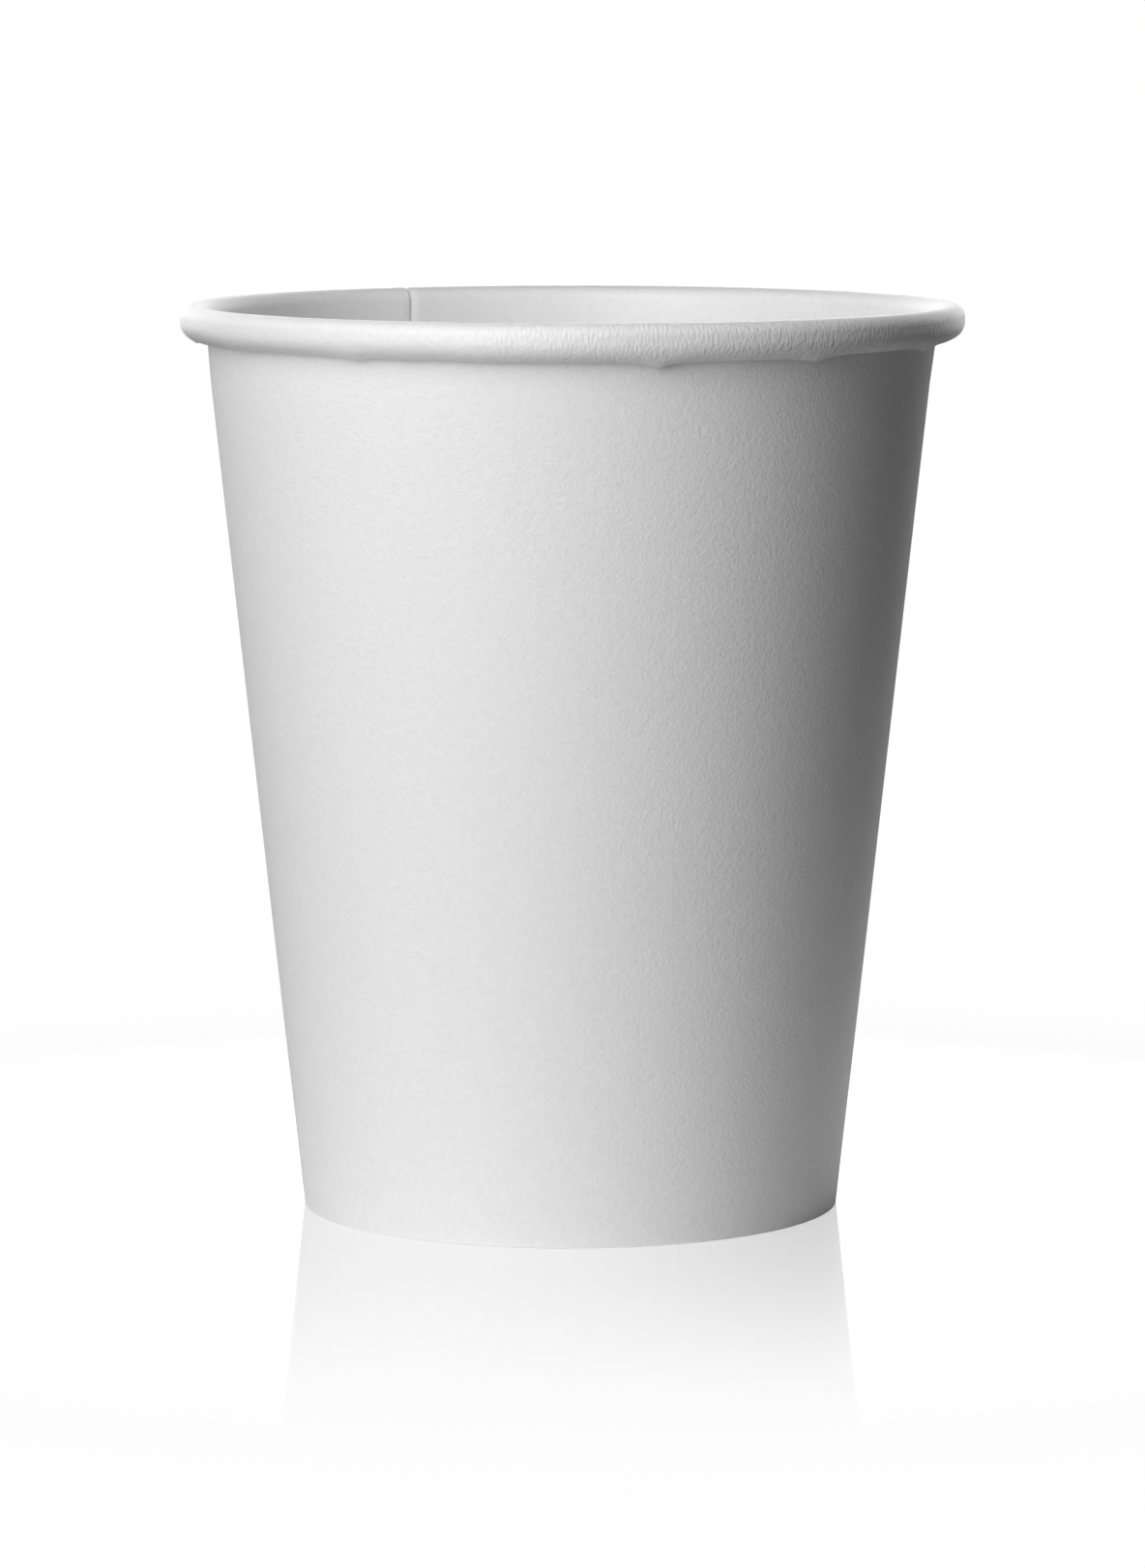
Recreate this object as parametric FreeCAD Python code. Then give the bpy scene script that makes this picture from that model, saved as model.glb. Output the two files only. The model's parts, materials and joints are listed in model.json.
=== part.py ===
"""Single-wall paper coffee cup, millimetres, +Z up, origin on the floor at the centre of the foot.

Two pieces of paperboard, as a cup-forming machine joins them:
- side_wall: a fan-shaped blank wrapped into a cone with a lapped side seam. Its top edge is rolled
  outwards into a bead of about one and a half turns, and its bottom edge is folded inwards and up.
  Rolling leaves the board too long for the narrow tuck beside the wall, which buckles into gathers.
- bottom_disc: a round blank with its edge turned down into a skirt, sealed in the fold of the wall.

Every vertical section is drawn in the XZ plane, with X as the radius, and turned round the Z axis.
"""

import FreeCAD, Part
import math
import os

# Driving sizes
cup_height = 92.5  # floor to the top of the rolled rim
rim_diameter = 80.0  # over the rolled rim, which is what a lid is pushed on
base_diameter = 55.0  # outside of the wall, where it meets the floor
wall_board = 0.35  # thickness of the wall's board
disc_board = 0.28  # thickness of the bottom's board

# Rolled rim, sizes of the roll's outer face
bead_radius = 1.5  # roundness of the roll, over the top and on the outside
bead_drop = 0.2  # straight stretch between the upper and the lower round
bead_underside_slope = 25.0  # degrees that the underside falls towards the wall
tuck_radius = 0.6  # bend that turns the board up again beside the wall
roll_clearance = 0.05  # between the roll's second turn and the double layer of the seam
roll_end_angle = -20.0  # where the board's raw edge ends inside the roll, 0 pointing outwards

# Gathers of the tuck, as degrees round from the front and how far the board is let down there
gathers = (
    (-60.0, 0.10),
    (-33.5, 0.22),
    (-9.5, 0.25),
    (13.0, 0.38),
    (38.5, 0.27),
    (67.5, 0.24),
    (93.0, 0.18),
    (120.0, 0.28),
    (146.0, 0.16),
    (173.0, 0.24),
    (198.0, 0.16),
    (226.0, 0.20),
    (250.0, 0.22),
    (275.0, 0.15),
)
front_azimuth = -90.0  # degrees from +X to the front
gather_half_width = 3.0
gather_root = 0.05  # how deep a gather's ends start in the nominal board
gather_rise = 0.3  # how far it reaches up beside the wall
gather_lean = 0.3  # share of its depth that it also moves towards the wall

# Side seam
lap_width = 7.0  # overlap of the blank's two edges
seam_azimuth = 118.0  # degrees from +X to the blank's inner raw edge
jog_angle = 1.8  # degrees over which the outer edge climbs onto the inner one

# Foot
recess_depth = 7.0  # floor to the underside of the bottom disc
hem_height = 5.5  # how far the wall's hem reaches up inside the foot
fold_radius = 0.2  # outside of the pressed folds that the cup stands on, sharp inside
disc_corner_radius = 0.7  # outer round between the disc and its skirt
seal_film = 0.02  # melted coating between the boards
skirt_end_clearance = 0.1  # between the skirt's edge and the seam's double fold

AXIS_POINT = FreeCAD.Vector(0, 0, 0)
AXIS = FreeCAD.Vector(0, 0, 1)

# The rolled rim's round is centred here, and the wall is tangent to it
bead_centre = FreeCAD.Vector(rim_diameter / 2 - bead_radius, 0, cup_height - bead_radius)
lower_centre = bead_centre - AXIS * bead_drop
foot_corner = FreeCAD.Vector(base_diameter / 2, 0, 0)
lean = bead_centre - foot_corner
taper = math.atan2(lean.x, lean.z) - math.asin((bead_radius - wall_board) / lean.Length)
up_wall = FreeCAD.Vector(math.sin(taper), 0, math.cos(taper))
out_of_wall = FreeCAD.Vector(math.cos(taper), 0, -math.sin(taper))
inner_face_at_floor = foot_corner - out_of_wall * wall_board

wall_side = 180 - math.degrees(taper)  # direction from the roll's middle to the wall
underside = bead_underside_slope - 90  # direction from the roll's middle to its underside
skirt_pocket = disc_board + 2 * seal_film  # room for the skirt between the wall and its hem
seam_thickness = 2 * wall_board


def turned(angle):
    """Unit vector in the XZ plane, angle in degrees from +X towards +Z."""
    return FreeCAD.Vector(math.cos(math.radians(angle)), 0, math.sin(math.radians(angle)))


def wall_point(offset, height):
    """Point at a height above the floor, on the wall's inner face offset outwards."""
    start = inner_face_at_floor + out_of_wall * offset
    return start + up_wall * ((height - start.z) / up_wall.z)


def along_wall(offset, distance):
    """Point on the same line, at a distance along the wall from the fold."""
    return inner_face_at_floor + out_of_wall * offset + up_wall * distance


def arc(centre, radius, start, end):
    """Arc round centre, from the angle start to the angle end, in degrees."""
    points = [centre + turned(angle) * radius for angle in (start, (start + end) / 2, end)]
    return Part.Arc(*points).toShape()


def bent(points, radius=0):
    """Edges of an open line through points, with its corners rounded to a radius, or sharp."""
    if not radius:
        return [Part.makeLine(*pair) for pair in zip(points, points[1:])]
    edges = []
    here = points[0]
    for before, corner, after in zip(points, points[1:], points[2:]):
        to_before = (before - corner).normalize()
        to_after = (after - corner).normalize()
        half = to_before.getAngle(to_after) / 2
        first = corner + to_before * (radius / math.tan(half))
        last = corner + to_after * (radius / math.tan(half))
        middle_way = (to_before + to_after).normalize()
        middle = corner + middle_way * (radius / math.sin(half) - radius)
        edges.append(Part.makeLine(here, first))
        edges.append(Part.Arc(first, middle, last).toShape())
        here = last
    edges.append(Part.makeLine(here, points[-1]))
    return edges


def tuck_centre():
    """Centre of the bend beside the wall: tangent to the underside and to the roll's second turn."""
    underside_normal = turned(bead_underside_slope - 90)
    from_underside = bead_radius - tuck_radius
    from_wall = seam_thickness + roll_clearance + tuck_radius - bead_radius
    across = out_of_wall.x * underside_normal.z - out_of_wall.z * underside_normal.x
    reach_wall = from_wall + out_of_wall.dot(bead_centre)
    reach_underside = from_underside + underside_normal.dot(lower_centre)
    x = (reach_wall * underside_normal.z - out_of_wall.z * reach_underside) / across
    z = (out_of_wall.x * reach_underside - reach_wall * underside_normal.x) / across
    return FreeCAD.Vector(x, 0, z)


def touch(centre, radius, point, side):
    """Point where a line from a point outside a circle touches it, on one side or the other."""
    to_point = point - centre
    apart = math.degrees(math.acos(radius / to_point.Length))
    direction = math.degrees(math.atan2(to_point.z, to_point.x))
    return centre + turned(direction + side * apart) * radius


def roll_edges(offset, whole):
    """The rolled rim's line at an offset inside its outer face, from the wall to the raw edge.

    A roll that isn't whole ends where the underside meets the tuck, as the seam's second layer does.
    """
    radius = bead_radius - offset
    tuck = tuck_radius - offset
    centre = tuck_centre()
    edges = [
        arc(bead_centre, radius, wall_side, 0),
        Part.makeLine(bead_centre + turned(0) * radius, lower_centre + turned(0) * radius),
        arc(lower_centre, radius, 0, underside),
    ]
    underside_end = centre + turned(underside) * tuck
    edges.append(Part.makeLine(lower_centre + turned(underside) * radius, underside_end))
    if whole:
        second_turn = bead_radius - seam_thickness - roll_clearance - offset
        beside_wall = centre + turned(wall_side) * tuck
        roll_start = bead_centre + turned(wall_side) * second_turn
        edges.append(arc(centre, tuck, underside, wall_side - 360))
        edges.append(Part.makeLine(beside_wall, roll_start))
        edges.append(arc(bead_centre, second_turn, wall_side, roll_end_angle))
    return edges


def sheet_section(inner, outer, whole=True):
    """Section of the wall's board between two offsets from its inner face, hem and rolled rim included."""
    thickness = outer - inner
    pocket = -skirt_pocket
    hem_near, hem_far = pocket - inner, pocket - outer
    wall_top = bead_centre - out_of_wall * bead_radius
    inside_line = bent(
        [
            along_wall(hem_near, hem_height),
            wall_point(hem_near, thickness),
            wall_point(inner, thickness),
            wall_top + out_of_wall * inner,
        ]
    )
    outside_line = bent(
        [
            along_wall(hem_far, hem_height),
            wall_point(hem_far, 0),
            wall_point(outer, 0),
            wall_top + out_of_wall * outer,
        ],
        fold_radius,
    )
    inside_line += roll_edges(inner, whole)
    outside_line += roll_edges(outer, whole)
    hem_edge = Part.makeLine(along_wall(hem_near, hem_height), along_wall(hem_far, hem_height))
    ends = [line[-1].valueAt(line[-1].LastParameter) for line in (inside_line, outside_line)]
    roll_edge = Part.makeLine(*ends)
    loose = [hem_edge, *inside_line, roll_edge, *outside_line]
    return Part.Wire(Part.__sortEdges__(loose))


def gather_section(offset, depth, root):
    """Section between a face of the tuck let down by a depth and the middle of the board.

    The face is at an offset inside the roll's outer face, and a root draws it back into the board.
    """
    centre = tuck_centre()
    let_down = centre - AXIS * depth - FreeCAD.Vector(depth * gather_lean, 0, 0)
    radius = tuck_radius - offset - root
    core = tuck_radius - offset - wall_board / 2
    under = lower_centre + turned(underside) * (bead_radius - offset - gather_root)
    beside = centre + turned(wall_side) * (tuck_radius - offset - gather_root)
    beside = beside + up_wall * gather_rise
    first = touch(let_down, radius, under, -1)
    last = touch(let_down, radius, beside, 1)
    lowest = let_down + (first + last - let_down * 2).normalize() * radius
    core_beside = centre + turned(wall_side) * core
    core_under = centre + turned(underside) * core
    edges = [
        Part.makeLine(under, first),
        Part.Arc(first, lowest, last).toShape(),
        Part.makeLine(last, beside),
        Part.makeLine(beside, core_beside),
        arc(centre, core, wall_side - 360, underside),
        Part.makeLine(core_under, under),
    ]
    return Part.Wire(edges)


def gather_solids(offset):
    """What each gather adds below a face of the tuck, pointed in the middle and level at its ends."""
    half = math.degrees(gather_half_width / tuck_centre().x)
    solids = []
    for place, depth in gathers:
        azimuth = front_azimuth + place
        before = at_azimuth(gather_section(offset, 0, gather_root), azimuth - half)
        middle = at_azimuth(gather_section(offset, depth, 0), azimuth)
        after = at_azimuth(gather_section(offset, 0, gather_root), azimuth + half)
        solids.append(Part.makeLoft([before, middle, after], True, True))
    return solids


def at_azimuth(wire, azimuth):
    """The section turned round the cup's axis to stand at an azimuth."""
    copy = wire.copy()
    copy.rotate(AXIS_POINT, AXIS, azimuth)
    return copy


def side_wall():
    """The wrapped, lapped, hemmed and rolled wall, as one solid."""
    sheet = sheet_section(0, wall_board)
    start = Part.Face(at_azimuth(sheet, seam_azimuth))
    wrap = start.revolve(AXIS_POINT, AXIS, 360 - jog_angle)

    jog_start = at_azimuth(sheet_section(0, wall_board, whole=False), seam_azimuth - jog_angle)
    jog_end = at_azimuth(sheet_section(wall_board, seam_thickness, whole=False), seam_azimuth)
    jog = Part.makeLoft([jog_start, jog_end], True, True)

    double = Part.Face(at_azimuth(sheet_section(0, seam_thickness, whole=False), seam_azimuth))
    narrowest = base_diameter / 2 - 2 * seam_thickness - skirt_pocket
    lap = double.revolve(AXIS_POINT, AXIS, math.degrees(math.asin(lap_width / narrowest)))
    band = Part.makeBox(rim_diameter, lap_width, cup_height)
    band.rotate(AXIS_POINT, AXIS, seam_azimuth)
    lap = lap.common(band)

    wall = wrap.fuse([jog, lap]).removeSplitter()
    return wall.fuse(gather_solids(0)).cut(gather_solids(wall_board))


def bottom_disc():
    """The disc with its skirt turned down, parallel to the wall and sealed to it."""
    skirt_out = -seal_film
    skirt_in = skirt_out - disc_board
    skirt_end = seam_thickness + skirt_end_clearance
    disc_top = recess_depth + disc_board
    upper = bent(
        [
            FreeCAD.Vector(0, 0, disc_top),
            wall_point(skirt_out, disc_top),
            wall_point(skirt_out, skirt_end),
        ],
        disc_corner_radius,
    )
    lower = bent(
        [
            FreeCAD.Vector(0, 0, recess_depth),
            wall_point(skirt_in, recess_depth),
            wall_point(skirt_in, skirt_end),
        ],
        disc_corner_radius - disc_board,
    )
    middle = Part.makeLine(FreeCAD.Vector(0, 0, recess_depth), FreeCAD.Vector(0, 0, disc_top))
    end = Part.makeLine(wall_point(skirt_in, skirt_end), wall_point(skirt_out, skirt_end))
    section = Part.Face(Part.Wire(Part.__sortEdges__([*upper, *lower, middle, end])))
    return section.revolve(AXIS_POINT, AXIS, 360)


def main():
    os.makedirs("parts", exist_ok=True)
    for name, piece in (("side_wall", side_wall()), ("bottom_disc", bottom_disc())):
        solid = piece.Solids[0]
        print(
            name,
            "solids", len(piece.Solids),
            "valid", solid.isValid(),
            "volume", round(solid.Volume, 1),
            "faces", len(solid.Faces),
            "box", solid.BoundBox,
        )
        piece.exportStep(f"parts/{name}.step")


main()
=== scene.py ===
import json
import math

import bpy
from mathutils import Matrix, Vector

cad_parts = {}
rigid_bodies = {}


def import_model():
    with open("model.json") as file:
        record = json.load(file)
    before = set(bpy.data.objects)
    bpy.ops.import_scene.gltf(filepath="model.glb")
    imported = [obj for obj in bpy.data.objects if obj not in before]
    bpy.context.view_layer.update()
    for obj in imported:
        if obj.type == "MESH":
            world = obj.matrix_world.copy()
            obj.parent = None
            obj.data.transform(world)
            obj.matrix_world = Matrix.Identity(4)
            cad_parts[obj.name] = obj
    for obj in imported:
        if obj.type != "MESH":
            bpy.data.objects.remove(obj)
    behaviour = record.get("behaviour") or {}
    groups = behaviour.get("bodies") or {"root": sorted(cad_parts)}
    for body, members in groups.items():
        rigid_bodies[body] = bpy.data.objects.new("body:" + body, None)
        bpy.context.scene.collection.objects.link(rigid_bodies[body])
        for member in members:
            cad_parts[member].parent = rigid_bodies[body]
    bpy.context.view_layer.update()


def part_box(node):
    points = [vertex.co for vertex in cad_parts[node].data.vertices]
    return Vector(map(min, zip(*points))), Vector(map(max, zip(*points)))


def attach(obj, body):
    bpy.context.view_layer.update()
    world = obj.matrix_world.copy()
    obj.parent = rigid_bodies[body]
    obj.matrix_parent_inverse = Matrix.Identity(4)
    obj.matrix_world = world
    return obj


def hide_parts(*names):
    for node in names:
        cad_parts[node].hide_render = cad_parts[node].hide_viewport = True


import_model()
bpy.ops.object.select_all(action="DESELECT")

# The cup's wall is one fan of white paperboard, wrapped into a cone with its straight ends lapped
# and sealed. Its top edge is rolled outwards into the rim, and its bottom edge is folded inwards
# and up, round the skirt of the bottom. Inside it has a thin clear coating, which shows on the roll.
wall_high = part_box("side_wall")[1]
rim_radius = wall_high.x
cup_height = wall_high.z
base_radius = 0.0275
board = 0.00035
bead_radius = 0.0015
shoulder_radius = 0.0012
face_height = 0.0005
belly_radius = 0.00175
underside_slope = 25
tuck_radius = 0.0006
roll_clearance = 0.00005
roll_end_angle = -20
skirt_pocket = 0.00032
hem_height = 0.0055

seam_azimuth = math.radians(118)
jog_angle = math.radians(1.2)
lap_angle = math.radians(12)
wrap_columns = 540
lap_columns = 18
wall_rows = 14
near = 0.001  # in metres or radians, within which a vertex counts as being at a place

bead_centre = Vector((rim_radius - bead_radius, 0, cup_height - bead_radius))
shoulder_centre = Vector((rim_radius - shoulder_radius, 0, cup_height - shoulder_radius))
belly_centre = shoulder_centre + Vector((shoulder_radius - belly_radius, 0, -face_height))
foot_corner = Vector((base_radius, 0, 0))
lean = bead_centre - foot_corner
taper = math.atan2(lean.x, lean.z) - math.asin((bead_radius - board) / lean.length)
up_wall = Vector((math.sin(taper), 0, math.cos(taper)))
out_of_wall = Vector((math.cos(taper), 0, -math.sin(taper)))
inner_foot = foot_corner - out_of_wall * board
wall_side = 180 - math.degrees(taper)


def turned(degrees):
    """Unit vector in the XZ plane, at an angle from +X towards +Z."""
    return Vector((math.cos(math.radians(degrees)), 0, math.sin(math.radians(degrees))))


def wall_point(offset, height):
    """Point at a height, on the line parallel to the wall's inner face and offset outwards from it."""
    start = inner_foot + out_of_wall * offset
    return start + up_wall * ((height - start.z) / up_wall.z)


def lay_start(point):
    """A single vertex at a point, in edit mode, from which a line of board is drawn out."""
    bpy.ops.mesh.primitive_plane_add(size=0.001)
    bpy.ops.object.mode_set(mode="EDIT")
    bpy.ops.mesh.select_all(action="SELECT")
    bpy.ops.mesh.merge(type="CENTER")
    bpy.ops.transform.translate(value=point)
    return bpy.context.object


def run_to(here, there, rows=1):
    """Draw the line on, straight, in a number of rows."""
    for _ in range(rows):
        step = (there - here) / rows
        bpy.ops.mesh.extrude_region_move(TRANSFORM_OT_translate={"value": step})


def bend(centre, degrees, rows):
    """Draw the line on round a bend, clockwise as the section is drawn."""
    bpy.ops.mesh.spin(
        steps=rows, angle=math.radians(degrees), center=centre, axis=(0, -1, 0)
    )


# The tuck's bend touches the sloped underside and the layer that runs back up beside the wall
underside_facing = underside_slope - 90
underside_normal = turned(underside_facing)
from_wall = 2 * board + roll_clearance + tuck_radius - bead_radius
reach_wall = from_wall + out_of_wall.dot(bead_centre)
reach_underside = belly_radius - tuck_radius + underside_normal.dot(belly_centre)
across = out_of_wall.x * underside_normal.z - out_of_wall.z * underside_normal.x
tuck_centre = Vector(
    (
        (reach_wall * underside_normal.z - out_of_wall.z * reach_underside) / across,
        0,
        (out_of_wall.x * reach_underside - reach_wall * underside_normal.x) / across,
    )
)
second_turn = bead_radius - 2 * board - roll_clearance
wall_top = bead_centre - out_of_wall * bead_radius

# The section of the coated face, from the hem's raw edge to the raw edge inside the roll
hem_end = inner_foot - out_of_wall * skirt_pocket + up_wall * hem_height
fold_inside = wall_point(-skirt_pocket, board)
fold_outside = wall_point(0, board)
side_wall = lay_start(hem_end)
side_wall.name = "wall_board"
run_to(hem_end, fold_inside, rows=3)
run_to(fold_inside, fold_outside)
run_to(fold_outside, wall_top, rows=wall_rows)
bend(bead_centre, wall_side - 90, rows=10)
run_to(bead_centre + turned(90) * bead_radius, shoulder_centre + turned(90) * shoulder_radius)
bend(shoulder_centre, 90, rows=10)
run_to(shoulder_centre, shoulder_centre - Vector((0, 0, face_height)), rows=2)
bend(belly_centre, -underside_facing, rows=9)
run_to(
    belly_centre + underside_normal * belly_radius,
    tuck_centre + underside_normal * tuck_radius,
    rows=3,
)
bend(tuck_centre, 360 - wall_side + underside_facing, rows=9)
run_to(
    tuck_centre + turned(wall_side) * tuck_radius,
    bead_centre + turned(wall_side) * second_turn,
    rows=2,
)
bend(bead_centre, wall_side - roll_end_angle, rows=10)

# Round the cup, then out over the first edge, and on along the lap
bpy.ops.mesh.select_all(action="SELECT")
turns = (
    (2 * math.pi - jog_angle, wrap_columns),
    (jog_angle, 1),
    (lap_angle, lap_columns),
)
for angle, columns in turns:
    bpy.ops.mesh.spin(steps=columns, angle=angle, center=(0, 0, 0), axis=(0, 0, -1))

# The lap's columns, drawn last, lie one board further out
for _ in range(lap_columns):
    bpy.ops.mesh.select_more()
bpy.ops.transform.shrink_fatten(value=-board)


def pick(piece, wanted):
    """Select the vertices of a piece that a test of their place asks for, and return to edit mode."""
    bpy.ops.object.mode_set(mode="EDIT")
    bpy.ops.mesh.select_all(action="DESELECT")
    bpy.ops.mesh.select_mode(type="VERT")
    bpy.ops.object.mode_set(mode="OBJECT")
    for vertex in piece.data.vertices:
        vertex.select = wanted(vertex.co)
    bpy.ops.object.mode_set(mode="EDIT")


# Under the lap the foot's fold holds two layers, so both stand one board higher inside
pick(
    side_wall,
    lambda p: p.z < 1.5 * board and -near < math.atan2(p.y, p.x) < lap_angle + near,
)
bpy.ops.transform.translate(value=(0, 0, board))

# Inside the cup the sealing tool has crushed the blank's edge down to less than half its step
edge_crush = 0.0002
pick(
    side_wall,
    lambda p: abs(math.atan2(p.y, p.x)) < near
    and abs((p - inner_foot).dot(out_of_wall)) < 0.5 * board
    and hem_height < p.z < wall_top.z - near,
)
bpy.ops.transform.translate(value=out_of_wall * edge_crush)

# The seam stands at the back left
bpy.ops.object.mode_set(mode="OBJECT")
side_wall.rotation_euler.z = seam_azimuth
bpy.ops.object.transform_apply(rotation=True)

# Rolling leaves the board too long for the narrower inside of the roll, so the roll's lower edge
# buckles into small gathers, given here as degrees from the front and depths: the front ones as
# they are seen, and the rest spaced alike
gathers = (
    (-60, 0.00010),
    (-33.5, 0.00022),
    (-25, 0.00013),
    (-9.5, 0.00025),
    (13, 0.00038),
    (38.5, 0.00027),
    (67.5, 0.00024),
    (93, 0.00018),
    (120, 0.00028),
    (146, 0.00016),
    (173, 0.00024),
    (198, 0.00016),
    (226, 0.00020),
    (250, 0.00022),
    (275, 0.00015),
)
gather_reach = 0.006
gather_lean = 0.3
pinch_reach = 0.0022
pinch_share = 0.7
sag_places = (-14, -4, 6, 16, 26, 36)
sag_reach = 0.0065
sag_depth = 0.0002
tip_reach = 0.00028
lowest_angle = -100
lowest = tuck_centre + turned(lowest_angle) * tuck_radius


def pull_down(degrees, lean_in, pulls):
    """Pull the roll's lower edge down at an angle from the front, by each (depth, reach, falloff)."""
    azimuth = math.radians(degrees - 90)
    outward = Vector((math.cos(azimuth), math.sin(azimuth), 0))
    tip = outward * lowest.x + Vector((0, 0, lowest.z))
    pick(side_wall, lambda p: (p - tip).length < tip_reach)
    for depth, reach, falloff in pulls:
        bpy.ops.transform.translate(
            value=(outward * -lean_in - Vector((0, 0, 1))) * depth,
            use_proportional_edit=True,
            use_proportional_connected=True,
            proportional_edit_falloff=falloff,
            proportional_size=reach,
        )


# Towards the front right the edge sags a little, and the gathers are pinched into it
for degrees in sag_places:
    pull_down(degrees, 0, [(sag_depth, sag_reach, "SMOOTH")])
for degrees, depth in gathers:
    pinch = pinch_share * depth
    pull_down(degrees, gather_lean, [(depth, gather_reach, "SHARP"), (pinch, pinch_reach, "SHARP")])

# The rolling tool left the rim a little to one side of the wall
rim_shift = Vector((0.0002, 0, 0.0001))
shift_reach = 0.004
roll_bottom = wall_top.z - 0.0015
pick(side_wall, lambda p: p.z > roll_bottom and math.hypot(p.x, p.y) > wall_top.x)
bpy.ops.transform.translate(
    value=rim_shift,
    use_proportional_edit=True,
    proportional_edit_falloff="SMOOTH",
    proportional_size=shift_reach,
)
bpy.ops.object.mode_set(mode="OBJECT")


def maths(tree, operation, *values):
    """The result of a node of arithmetic, between numbers or other nodes' results."""
    node = tree.nodes.new("ShaderNodeMath")
    node.operation = operation
    for socket, value in zip(node.inputs, values):
        if isinstance(value, bpy.types.NodeSocket):
            tree.links.new(value, socket)
        else:
            socket.default_value = value
    return node.outputs[0]


def fibre_bump(tree, position, grains, depth):
    """Relief of matted fibres, from grains given as (size in metres, share)."""
    nodes, links = tree.nodes, tree.links
    height = 0
    for size, share in grains:
        grain = nodes.new("ShaderNodeTexNoise")
        grain.inputs["Scale"].default_value = 1 / size
        grain.inputs["Detail"].default_value = 2
        grain.inputs["Roughness"].default_value = 0.6
        links.new(position, grain.inputs["Vector"])
        height = maths(tree, "MULTIPLY_ADD", grain.outputs["Fac"], share, height)
    bump = nodes.new("ShaderNodeBump")
    bump.inputs["Strength"].default_value = 1
    bump.inputs["Distance"].default_value = depth
    links.new(height, bump.inputs["Height"])
    return bump


def cloudy(tree, position, colour, size, spread):
    """A colour that varies a little in soft clouds, as board does with the fibres' density."""
    clouds = tree.nodes.new("ShaderNodeTexNoise")
    clouds.inputs["Scale"].default_value = 1 / size
    clouds.inputs["Detail"].default_value = 3
    tree.links.new(position, clouds.inputs["Vector"])
    shades = tree.nodes.new("ShaderNodeValToRGB")
    shades.color_ramp.elements[0].position = 0.3
    shades.color_ramp.elements[1].position = 0.7
    shades.color_ramp.elements[0].color = [c * (1 - spread) for c in colour] + [1]
    shades.color_ramp.elements[1].color = [*colour, 1]
    tree.links.new(clouds.outputs["Fac"], shades.inputs["Fac"])
    return shades.outputs["Color"]


cloud_size = 0.0006
cloud_spread = 0.04


def board_material(name, colour, roughness, shine, grains, depth):
    """White paperboard: a cloudy colour and fibre relief under an even roughness."""
    material = bpy.data.materials.new(name)
    material.use_nodes = True
    tree = material.node_tree
    surface = tree.nodes["Principled BSDF"]
    surface.inputs["Roughness"].default_value = roughness
    surface.inputs["Specular IOR Level"].default_value = shine
    position = tree.nodes.new("ShaderNodeTexCoord").outputs["Object"]
    clouds = cloudy(tree, position, colour, cloud_size, cloud_spread)
    tree.links.new(clouds, surface.inputs["Base Color"])
    bump = fibre_bump(tree, position, grains, depth)
    tree.links.new(bump.outputs["Normal"], surface.inputs["Normal"])
    return material


coated = board_material(
    "coated_board",
    colour=(0.94, 0.94, 0.94),
    roughness=0.42,
    shine=0.4,
    grains=((0.0008, 0.5), (0.00035, 0.5)),
    depth=0.00005,
)
bare = board_material(
    "bare_board",
    colour=(0.81, 0.81, 0.81),
    roughness=0.75,
    shine=0.12,
    grains=((0.0007, 0.5), (0.00035, 0.5)),
    depth=0.00008,
)
raw = board_material(
    "raw_edge",
    colour=(0.74, 0.73, 0.71),
    roughness=0.9,
    shine=0.1,
    grains=((0.0003, 0.5), (0.0001, 0.5)),
    depth=0.00004,
)

# Where the coated face runs over the roll its colour is darkened, as painted shade that keeps the roll
# darker than the inside of the cup, and it wrinkles finely across the rim: a pattern unrolled along
# the rim, and drawn out across it
roll_painted_shade = 0.86
wrinkle_size = 0.00032
wrinkle_depth = 0.00008
wrinkle_draw = 0.4
roll_start = wall_top.x + 0.0004
roll_full = wall_top.x + 0.0012
tree = coated.node_tree
nodes, links = tree.nodes, tree.links
place = nodes.new("ShaderNodeSeparateXYZ")
links.new(nodes.new("ShaderNodeTexCoord").outputs["Object"], place.inputs[0])
azimuth = maths(tree, "ARCTAN2", place.outputs["X"], place.outputs["Y"])
unrolled = nodes.new("ShaderNodeCombineXYZ")
links.new(maths(tree, "MULTIPLY", azimuth, rim_radius), unrolled.inputs["X"])
links.new(maths(tree, "MULTIPLY", place.outputs["Z"], wrinkle_draw), unrolled.inputs["Y"])
wrinkles = nodes.new("ShaderNodeTexNoise")
wrinkles.inputs["Scale"].default_value = 1 / wrinkle_size
wrinkles.inputs["Detail"].default_value = 1
wrinkles.inputs["Distortion"].default_value = 0.15
links.new(unrolled.outputs[0], wrinkles.inputs["Vector"])
flat = nodes.new("ShaderNodeCombineXYZ")
links.new(place.outputs["X"], flat.inputs["X"])
links.new(place.outputs["Y"], flat.inputs["Y"])
from_axis = nodes.new("ShaderNodeVectorMath")
from_axis.operation = "LENGTH"
links.new(flat.outputs[0], from_axis.inputs[0])
on_roll = nodes.new("ShaderNodeMapRange")
on_roll.inputs["From Min"].default_value = roll_start
on_roll.inputs["From Max"].default_value = roll_full
links.new(from_axis.outputs["Value"], on_roll.inputs["Value"])
relief = nodes.new("ShaderNodeBump")
relief.inputs["Distance"].default_value = wrinkle_depth
links.new(on_roll.outputs["Result"], relief.inputs["Strength"])
links.new(wrinkles.outputs["Fac"], relief.inputs["Height"])
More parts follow.
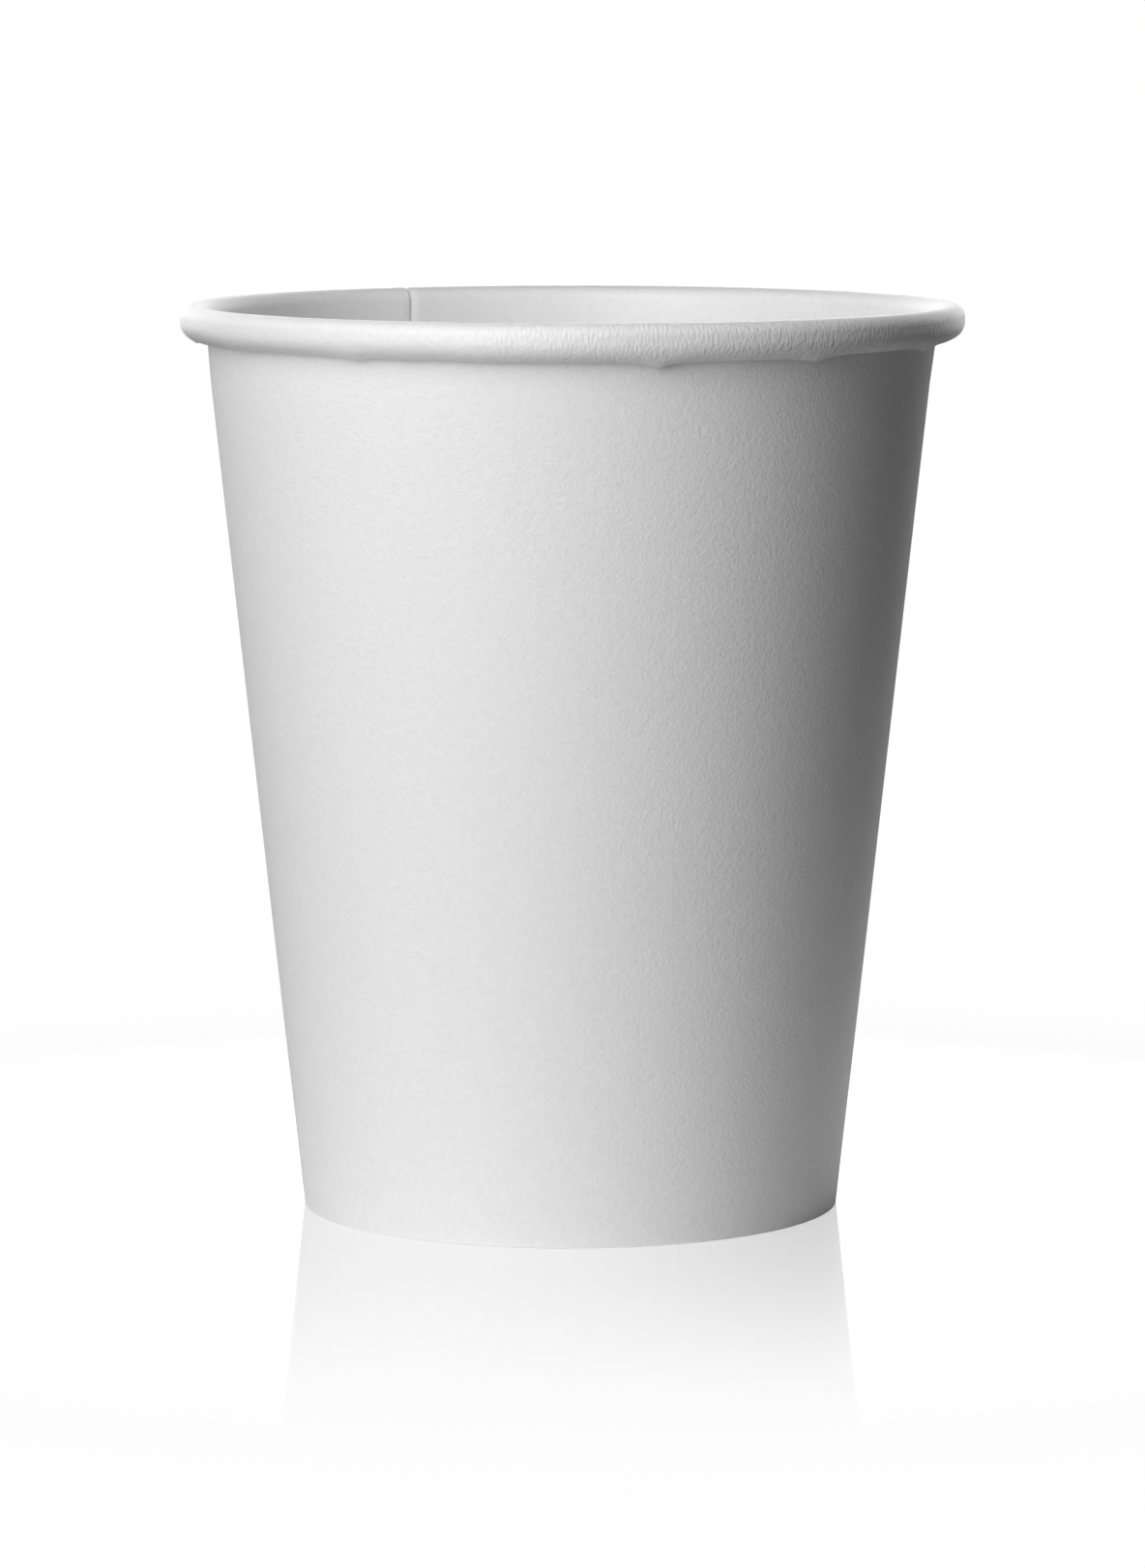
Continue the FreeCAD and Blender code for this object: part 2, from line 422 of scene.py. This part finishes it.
# Painted shade: the coated colour is multiplied down by this factor wherever the roll is
painted_roll_shade = nodes.new("ShaderNodeMix")
painted_roll_shade.data_type = "RGBA"
painted_roll_shade.blend_type = "MULTIPLY"
painted_roll_shade.inputs["B"].default_value = (roll_painted_shade, roll_painted_shade, roll_painted_shade, 1)
links.new(on_roll.outputs["Result"], painted_roll_shade.inputs["Factor"])
surface = nodes["Principled BSDF"]
links.new(surface.inputs["Base Color"].links[0].from_socket, painted_roll_shade.inputs["A"])
links.new(painted_roll_shade.outputs["Result"], surface.inputs["Base Color"])
links.new(surface.inputs["Normal"].links[0].from_socket, relief.inputs["Normal"])
links.new(relief.outputs["Normal"], surface.inputs["Normal"])


def thicken(piece, sheet):
    """Lay the sheet behind a piece's coated face, bare at the back and raw at its edges."""
    for material in (coated, bare, raw):
        piece.data.materials.append(material)
    thickness = piece.modifiers.new("board", "SOLIDIFY")
    thickness.thickness = sheet
    thickness.offset = -1
    thickness.use_even_offset = True
    thickness.material_offset = 1
    thickness.material_offset_rim = 2
    bpy.ops.object.modifier_apply(modifier=thickness.name)


thicken(side_wall, board)

# The foot stands flat on the floor, at the step of the lap too
pick(side_wall, lambda p: p.z < 0)
bpy.ops.transform.resize(value=(1, 1, 0), center_override=(0, 0, 0))
bpy.ops.object.mode_set(mode="OBJECT")
sharpest_bend = math.radians(40)
bpy.ops.object.shade_smooth_by_angle(angle=sharpest_bend)
side_wall.select_set(False)
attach(side_wall, "root")
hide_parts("side_wall")

# The bottom is a round blank of thinner board, coated on top, with its edge turned down into a
# skirt. The skirt is sealed between the wall and the wall's hem, so only the disc shows.
disc_low, disc_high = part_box("bottom_disc")
disc_board = 0.00028
seal_film = 0.00002
disc_corner = 0.0007
disc_top = disc_high.z
disc_columns = 240
merge_reach = 0.000005
skirt_line = -seal_film
corner_centre = wall_point(skirt_line - disc_corner, disc_top - disc_corner)
skirt_start = corner_centre + out_of_wall * disc_corner
skirt_end = wall_point(skirt_line, disc_low.z)
disc_edge = Vector((corner_centre.x, 0, disc_top))
bottom = lay_start(Vector((0, 0, disc_top)))
bottom.name = "bottom_board"
run_to(Vector((0, 0, disc_top)), disc_edge, rows=12)
bend(corner_centre, 90 + math.degrees(taper), rows=6)
run_to(skirt_start, skirt_end, rows=4)
bpy.ops.mesh.select_all(action="SELECT")
bpy.ops.mesh.spin(
    steps=disc_columns, angle=2 * math.pi, center=(0, 0, 0), axis=(0, 0, 1)
)
bpy.ops.mesh.select_all(action="SELECT")
bpy.ops.mesh.remove_doubles(threshold=merge_reach)
bpy.ops.mesh.normals_make_consistent(inside=False)
bpy.ops.object.mode_set(mode="OBJECT")
thicken(bottom, disc_board)
bpy.ops.object.shade_smooth_by_angle(angle=sharpest_bend)
bottom.select_set(False)
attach(bottom, "root")
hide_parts("bottom_disc")

# The floor is a sheet of white acrylic. The camera sees it as white as the backdrop, but for the
# cup's shadow and for its image in the gloss, which is lost a hand's breadth in front of the cup.
floor_size = 8
floor_gap = 0.00002
floor_white = 1.04
floor_roughness = 0.06
floor_index = 1.6
sheen_start = 0.026
sheen_end = 0.115
shadow_start = 0.04
shadow_reach = 0.30
bpy.ops.mesh.primitive_plane_add(size=floor_size, location=(0, 0, -floor_gap))
floor = bpy.context.object
floor.name = "floor"
gloss_white = bpy.data.materials.new("gloss_white")
gloss_white.use_nodes = True
tree = gloss_white.node_tree
nodes, links = tree.nodes, tree.links
nodes.remove(nodes["Principled BSDF"])
matte = nodes.new("ShaderNodeBsdfDiffuse")
lift = nodes.new("ShaderNodeEmission")
lift.inputs["Strength"].default_value = floor_white
to_camera = nodes.new("ShaderNodeLightPath").outputs["Is Camera Ray"]
white = nodes.new("ShaderNodeMixShader")
links.new(matte.outputs["BSDF"], white.inputs[1])
links.new(lift.outputs["Emission"], white.inputs[2])
gloss = nodes.new("ShaderNodeBsdfGlossy")
gloss.inputs["Roughness"].default_value = floor_roughness
surface = nodes.new("ShaderNodeMixShader")
links.new(white.outputs["Shader"], surface.inputs[1])
links.new(gloss.outputs["BSDF"], surface.inputs[2])
links.new(surface.outputs["Shader"], nodes["Material Output"].inputs["Surface"])


def by_distance(tree, start, end, at_start, at_end):
    """Factor that runs from one value to another with the distance from the cup's axis."""
    place = tree.nodes.new("ShaderNodeTexCoord")
    distance = tree.nodes.new("ShaderNodeVectorMath")
    distance.operation = "LENGTH"
    tree.links.new(place.outputs["Object"], distance.inputs[0])
    ramp = tree.nodes.new("ShaderNodeMapRange")
    ramp.interpolation_type = "SMOOTHSTEP"
    ramp.inputs["From Min"].default_value = start
    ramp.inputs["From Max"].default_value = end
    ramp.inputs["To Min"].default_value = at_start
    ramp.inputs["To Max"].default_value = at_end
    tree.links.new(distance.outputs["Value"], ramp.inputs["Value"])
    return ramp.outputs["Result"]


# Away from the cup the sheet throws little light back, and only the camera sees it white
thrown_back = by_distance(tree, start=0.05, end=0.12, at_start=0.8, at_end=0.15)
links.new(thrown_back, matte.inputs["Color"])

# Close to the cup a part of the white is the floor's own, where its shadow shows
lifted = by_distance(tree, start=shadow_start, end=shadow_reach, at_start=0.92, at_end=1)
links.new(maths(tree, "MULTIPLY", lifted, to_camera), white.inputs["Fac"])
fresnel = nodes.new("ShaderNodeFresnel")
fresnel.inputs["IOR"].default_value = floor_index
fading = by_distance(tree, start=sheen_start, end=sheen_end, at_start=1, at_end=0)
sheen = maths(tree, "MULTIPLY", fresnel.outputs["Fac"], fading)
links.new(maths(tree, "MULTIPLY", sheen, to_camera), surface.inputs["Fac"])
floor.data.materials.append(gloss_white)

# The backdrop is white all round to the camera. The gloss sees it white behind the cup and half as
# white in front, and the room beyond it lights the rest only faintly.
fill_level = 0.02
front_level = 0.5
front_edge = -0.1
back_edge = 0.5
world = bpy.data.worlds.new("backdrop")
bpy.context.scene.world = world
world.use_nodes = True
tree = world.node_tree
nodes, links = tree.nodes, tree.links
backdrop = nodes["Background"]
backdrop.inputs["Color"].default_value = (1, 1, 1, 1)
path = nodes.new("ShaderNodeLightPath")
heading = nodes.new("ShaderNodeSeparateXYZ")
links.new(nodes.new("ShaderNodeTexCoord").outputs["Generated"], heading.inputs[0])
behind = nodes.new("ShaderNodeMapRange")
behind.inputs["From Min"].default_value = front_edge
behind.inputs["From Max"].default_value = back_edge
behind.inputs["To Min"].default_value = front_level
links.new(heading.outputs["Y"], behind.inputs["Value"])
level = maths(tree, "MULTIPLY", path.outputs["Is Glossy Ray"], behind.outputs["Result"])
for other in (path.outputs["Is Camera Ray"], path.outputs["Is Transmission Ray"], fill_level):
    level = maths(tree, "MAXIMUM", level, other)
links.new(level, backdrop.inputs["Strength"])


def area_lamp(name, place, turn, shape, size, energy):
    """A lamp of an even white, unseen by the camera."""
    bpy.ops.object.light_add(type="AREA", location=place, rotation=turn)
    lamp = bpy.context.object
    lamp.name = name
    lamp.data.shape = shape
    lamp.data.size, lamp.data.size_y = size
    lamp.data.energy = energy
    lamp.visible_camera = False
    return lamp


# A tall soft box stands close in at the front left, and reaches down nearly to the floor
key_azimuth = math.radians(-90 - 30)
key_distance = 0.4
key_height = 0.3
area_lamp(
    "key_soft_box",
    place=(
        key_distance * math.cos(key_azimuth),
        key_distance * math.sin(key_azimuth),
        key_height,
    ),
    turn=(math.radians(90), 0, key_azimuth + math.radians(90)),
    shape="RECTANGLE",
    size=(0.3, 0.56),
    energy=2.45,
)

# The backdrop's lamps spill on the cup's back and a little round its sides
area_lamp(
    "backdrop_spill",
    place=(0, 0.45, 0.16),
    turn=(math.radians(-90), 0, 0),
    shape="RECTANGLE",
    size=(1, 0.3),
    energy=2,
)

# The small white card on the floor at the right throws a little light back up on the dark side
card = area_lamp(
    "bounce_card",
    place=(0.06, 0.01, 0.001),
    turn=(math.pi, 0, 0),
    shape="SQUARE",
    size=(0.05, 0.05),
    energy=0.003,
)
card.visible_glossy = False

# A small, weak soft box hangs over the rim, a little in front
area_lamp(
    "overhead_soft_box",
    place=(0, -0.1, 0.3),
    turn=(math.radians(-20), 0, 0),
    shape="DISK",
    size=(0.15, 0.15),
    energy=0.07,
)

# The camera stands a long lens's distance in front, a little above the rim, and looks down at it
camera_place = (0, -0.6832, 0.1268)
camera_pitch = math.radians(6.975)
photo_height = 1622
photo_middle = 592
object_middle = 589.8
focal_pixels = 6921
sensor = 36
bpy.ops.object.camera_add(location=camera_place, rotation=(math.radians(90) - camera_pitch, 0, 0))
camera = bpy.context.object
camera.data.sensor_width = sensor
camera.data.lens = focal_pixels / photo_height * sensor
camera.data.shift_x = (photo_middle - object_middle) / photo_height
camera.data.clip_start = 0.01
bpy.context.scene.camera = camera
bpy.context.scene.view_settings.view_transform = "Standard"
